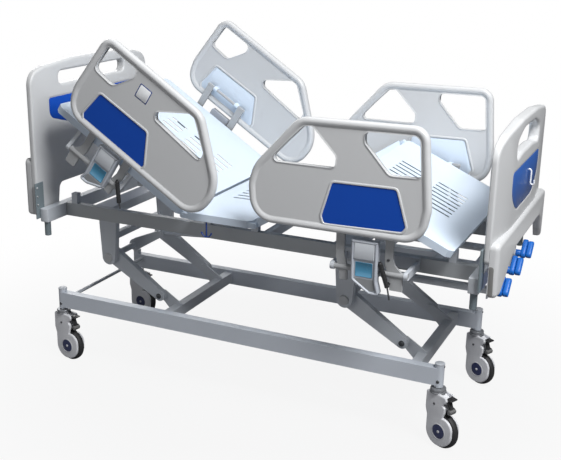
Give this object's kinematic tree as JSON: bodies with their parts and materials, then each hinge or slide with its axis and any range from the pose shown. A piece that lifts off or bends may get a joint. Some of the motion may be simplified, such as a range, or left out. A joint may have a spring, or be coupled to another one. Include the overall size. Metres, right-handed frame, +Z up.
{
  "type": "manual hospital bed",
  "caption": "Hospital bed with punched steel deck in hinged sections, moulded end boards and folding side rails, raised by hand cranks on braked casters.",
  "frame": {"origin": "centre of the floor footprint under the whole bed", "axes": "+X towards the foot end, +Y towards the patient's left, +Z up"},
  "size_m": [2.12, 1.01, 1.5304],
  "materials": {
    "frame_paint": "satin powder coat",
    "deck_paint": "satin powder coat",
    "arm_paint": "satin",
    "moulding": "satin ABS",
    "inlay": "satin",
    "latch_cover": "satin",
    "crank_blue": "satin",
    "plate_paint": "satin",
    "cap": "satin",
    "caster_cover": "satin",
    "tyre": "matt",
    "pedal": "matt"
  },
  "bodies": {
    "base": {"base_side_frames": "frame_paint", "base_crossmembers": "frame_paint", "base_tie_tube": "frame_paint"},
    "lift_head": {"lift_arms_head": "frame_paint"},
    "lift_foot": {"lift_arms_foot": "frame_paint"},
    "upper_frame": {"upper_side_rails": "frame_paint", "upper_crossmembers": "frame_paint", "hanging_brackets": "frame_paint", "pivot_caps": "cap", "seat_panel": "deck_paint", "deck_brackets": "frame_paint", "headboard": "moulding", "footboard": "moulding", "board_inlays": "inlay", "board_mount_plates": "plate_paint", "crank_housings": "frame_paint", "rail_mounts_foot": "frame_paint", "drainage_hooks": "crank_blue"},
    "drive_rod": {"hi_lo_rod": "frame_paint"},
    "backrest": {"backrest_panel": "deck_paint", "rail_mounts_head": "frame_paint"},
    "thigh": {"thigh_panel": "deck_paint"},
    "calf": {"calf_panel": "deck_paint"},
    "fork_head_right": {"caster_fork_head_right": "caster_cover"},
    "wheel_head_right": {"caster_wheel_head_right": "tyre"},
    "pedal_head_right": {"caster_pedal_head_right": "pedal"},
    "fork_head_left": {"caster_fork_head_left": "caster_cover"},
    "wheel_head_left": {"caster_wheel_head_left": "tyre"},
    "pedal_head_left": {"caster_pedal_head_left": "pedal"},
    "fork_foot_right": {"caster_fork_foot_right": "caster_cover"},
    "wheel_foot_right": {"caster_wheel_foot_right": "tyre"},
    "pedal_foot_right": {"caster_pedal_foot_right": "pedal"},
    "fork_foot_left": {"caster_fork_foot_left": "caster_cover"},
    "wheel_foot_left": {"caster_wheel_foot_left": "tyre"},
    "pedal_foot_left": {"caster_pedal_foot_left": "pedal"},
    "arms_foot_right": {"rail_arms_foot_right": "arm_paint"},
    "rail_foot_right": {"rail_shell_foot_right": "moulding", "rail_inlay_foot_right": "inlay"},
    "latch_foot_right": {"rail_latch_foot_right": "latch_cover"},
    "arms_foot_left": {"rail_arms_foot_left": "arm_paint"},
    "rail_foot_left": {"rail_shell_foot_left": "moulding", "rail_inlay_foot_left": "inlay"},
    "latch_foot_left": {"rail_latch_foot_left": "latch_cover"},
    "arms_head_right": {"rail_arms_head_right": "arm_paint"},
    "rail_head_right": {"rail_shell_head_right": "moulding", "rail_inlay_head_right": "inlay"},
    "latch_head_right": {"rail_latch_head_right": "latch_cover"},
    "arms_head_left": {"rail_arms_head_left": "arm_paint"},
    "rail_head_left": {"rail_shell_head_left": "moulding", "rail_inlay_head_left": "inlay"},
    "latch_head_left": {"rail_latch_head_left": "latch_cover"},
    "crank_right": {"crank_right": "crank_blue"},
    "grip_right": {"crank_grip_right": "crank_blue"},
    "crank_middle": {"crank_middle": "crank_blue"},
    "grip_middle": {"crank_grip_middle": "crank_blue"},
    "crank_left": {"crank_left": "crank_blue"},
    "grip_left": {"crank_grip_left": "crank_blue"}
  },
  "joints": [
    {"name": "lift_head", "type": "hinge", "parent": "base", "child": "lift_head", "pos_m": [-0.5075, 0, 0.361], "axis": [0, 1, 0], "range_deg": [-50, 6]},
    {"name": "frame_level", "type": "hinge", "parent": "lift_head", "child": "upper_frame", "pos_m": [-0.7525, 0, 0.51504], "axis": [0, 1, 0], "range_deg": [-6.5, 50.5]},
    {"name": "lift_foot", "type": "hinge", "parent": "base", "child": "lift_foot", "pos_m": [0.6394, 0, 0.361], "axis": [0, 1, 0], "range_deg": [-50.5, 6.5]},
    {"name": "drive_rod", "type": "hinge", "parent": "lift_head", "child": "drive_rod", "pos_m": [-0.60548, -0.03, 0.58995], "axis": [0, 1, 0], "range_deg": [-7, 55.5]},
    {"name": "backrest_tilt", "type": "hinge", "parent": "upper_frame", "child": "backrest", "pos_m": [-0.255, 0, 0.832], "axis": [0, 1, 0], "range_deg": [-32.8, 27]},
    {"name": "thigh_tilt", "type": "hinge", "parent": "upper_frame", "child": "thigh", "pos_m": [0.07, 0, 0.832], "axis": [0, -1, 0], "range_deg": [-32.6, 4]},
    {"name": "calf_tilt", "type": "hinge", "parent": "thigh", "child": "calf", "pos_m": [0.39856, 0, 1.04212], "axis": [0, -1, 0], "range_deg": [-7.5, 57]},
    {"name": "swivel_head_right", "type": "hinge", "parent": "base", "child": "fork_head_right", "pos_m": [-0.975, -0.315, 0.24], "axis": [0, 0, 1], "continuous": true},
    {"name": "roll_head_right", "type": "hinge", "parent": "fork_head_right", "child": "wheel_head_right", "pos_m": [-0.94034, -0.31987, 0.075], "axis": [0.1392, 0.9903, 0], "continuous": true},
    {"name": "pedal_head_right", "type": "hinge", "parent": "fork_head_right", "child": "pedal_head_right", "pos_m": [-0.92945, -0.3214, 0.2], "axis": [0.1392, 0.9903, 0], "range_deg": [0, 12]},
    {"name": "swivel_head_left", "type": "hinge", "parent": "base", "child": "fork_head_left", "pos_m": [-0.975, 0.315, 0.24], "axis": [0, 0, 1], "continuous": true},
    {"name": "roll_head_left", "type": "hinge", "parent": "fork_head_left", "child": "wheel_head_left", "pos_m": [-0.94034, 0.31013, 0.075], "axis": [0.1392, 0.9903, 0], "continuous": true},
    {"name": "pedal_head_left", "type": "hinge", "parent": "fork_head_left", "child": "pedal_head_left", "pos_m": [-0.92945, 0.3086, 0.2], "axis": [0.1392, 0.9903, 0], "range_deg": [0, 12]},
    {"name": "swivel_foot_right", "type": "hinge", "parent": "base", "child": "fork_foot_right", "pos_m": [0.825, -0.315, 0.24], "axis": [0, 0, 1], "continuous": true},
    {"name": "roll_foot_right", "type": "hinge", "parent": "fork_foot_right", "child": "wheel_foot_right", "pos_m": [0.85672, -0.32979, 0.075], "axis": [0.4226, 0.9063, 0], "continuous": true},
    {"name": "pedal_foot_right", "type": "hinge", "parent": "fork_foot_right", "child": "pedal_foot_right", "pos_m": [0.86669, -0.33444, 0.2], "axis": [0.4226, 0.9063, 0], "range_deg": [0, 12]},
    {"name": "swivel_foot_left", "type": "hinge", "parent": "base", "child": "fork_foot_left", "pos_m": [0.825, 0.315, 0.24], "axis": [0, 0, 1], "continuous": true},
    {"name": "roll_foot_left", "type": "hinge", "parent": "fork_foot_left", "child": "wheel_foot_left", "pos_m": [0.85672, 0.30021, 0.075], "axis": [0.4226, 0.9063, 0], "continuous": true},
    {"name": "pedal_foot_left", "type": "hinge", "parent": "fork_foot_left", "child": "pedal_foot_left", "pos_m": [0.86669, 0.29556, 0.2], "axis": [0.4226, 0.9063, 0], "range_deg": [0, 12]},
    {"name": "rail_swing_foot_right", "type": "hinge", "parent": "upper_frame", "child": "arms_foot_right", "pos_m": [0.544, -0.457, 0.735], "axis": [1, 0, 0], "range_deg": [0, 175]},
    {"name": "rail_level_foot_right", "type": "hinge", "parent": "arms_foot_right", "child": "rail_foot_right", "pos_m": [0.544, -0.457, 0.956], "axis": [1, 0, 0], "range_deg": [-175.5, 0.5]},
    {"name": "rail_latch_foot_right", "type": "hinge", "parent": "arms_foot_right", "child": "latch_foot_right", "pos_m": [0.544, -0.457, 0.735], "axis": [1, 0, 0], "range_deg": [0, 12]},
    {"name": "rail_swing_foot_left", "type": "hinge", "parent": "upper_frame", "child": "arms_foot_left", "pos_m": [0.544, 0.457, 0.735], "axis": [-1, 0, 0], "range_deg": [0, 175]},
    {"name": "rail_level_foot_left", "type": "hinge", "parent": "arms_foot_left", "child": "rail_foot_left", "pos_m": [0.544, 0.457, 0.956], "axis": [-1, 0, 0], "range_deg": [-175.5, 0.5]},
    {"name": "rail_latch_foot_left", "type": "hinge", "parent": "arms_foot_left", "child": "latch_foot_left", "pos_m": [0.544, 0.457, 0.735], "axis": [-1, 0, 0], "range_deg": [0, 12]},
    {"name": "rail_swing_head_right", "type": "hinge", "parent": "backrest", "child": "arms_head_right", "pos_m": [-0.6467, -0.457, 0.97737], "axis": [0.8406, 0, -0.5417], "range_deg": [0, 175]},
    {"name": "rail_level_head_right", "type": "hinge", "parent": "arms_head_right", "child": "rail_head_right", "pos_m": [-0.52699, -0.457, 1.16313], "axis": [0.8406, 0, -0.5417], "range_deg": [-175.5, 0.5]},
    {"name": "rail_latch_head_right", "type": "hinge", "parent": "arms_head_right", "child": "latch_head_right", "pos_m": [-0.6467, -0.457, 0.97737], "axis": [0.8406, 0, -0.5417], "range_deg": [0, 12]},
    {"name": "rail_swing_head_left", "type": "hinge", "parent": "backrest", "child": "arms_head_left", "pos_m": [-0.6467, 0.457, 0.97737], "axis": [-0.8406, 0, 0.5417], "range_deg": [0, 175]},
    {"name": "rail_level_head_left", "type": "hinge", "parent": "arms_head_left", "child": "rail_head_left", "pos_m": [-0.52699, 0.457, 1.16313], "axis": [-0.8406, 0, 0.5417], "range_deg": [-175.5, 0.5]},
    {"name": "rail_latch_head_left", "type": "hinge", "parent": "arms_head_left", "child": "latch_head_left", "pos_m": [-0.6467, 0.457, 0.97737], "axis": [-0.8406, 0, 0.5417], "range_deg": [0, 12]},
    {"name": "crank_right", "type": "hinge", "parent": "upper_frame", "child": "crank_right", "pos_m": [1.015, -0.24, 0.655], "axis": [1, 0, 0], "continuous": true},
    {"name": "grip_right", "type": "hinge", "parent": "crank_right", "child": "grip_right", "pos_m": [1.037, -0.20197, 0.69046], "axis": [0, -0.682, 0.7314], "range_deg": [0, 90]},
    {"name": "crank_middle", "type": "hinge", "parent": "upper_frame", "child": "crank_middle", "pos_m": [1.015, -0.02, 0.67], "axis": [1, 0, 0], "continuous": true},
    {"name": "grip_middle", "type": "hinge", "parent": "crank_middle", "child": "grip_middle", "pos_m": [1.037, 0.01803, 0.70546], "axis": [0, -0.682, 0.7314], "range_deg": [0, 90]},
    {"name": "crank_left", "type": "hinge", "parent": "upper_frame", "child": "crank_left", "pos_m": [1.015, 0.2, 0.675], "axis": [1, 0, 0], "continuous": true},
    {"name": "grip_left", "type": "hinge", "parent": "crank_left", "child": "grip_left", "pos_m": [1.037, 0.23803, 0.71046], "axis": [0, -0.682, 0.7314], "range_deg": [0, 90]}
  ],
  "couplings": [
    {"joint": "frame_level", "follows": "lift_head", "ratio": -1},
    {"joint": "lift_foot", "follows": "lift_head", "ratio": 1},
    {"joint": "drive_rod", "follows": "lift_head", "ratio": -1.096},
    {"joint": "calf_tilt", "follows": "thigh_tilt", "ratio": -1.739},
    {"joint": "rail_level_foot_right", "follows": "rail_swing_foot_right", "ratio": -1},
    {"joint": "rail_level_foot_left", "follows": "rail_swing_foot_left", "ratio": -1},
    {"joint": "rail_level_head_right", "follows": "rail_swing_head_right", "ratio": -1},
    {"joint": "rail_level_head_left", "follows": "rail_swing_head_left", "ratio": -1}
  ]
}
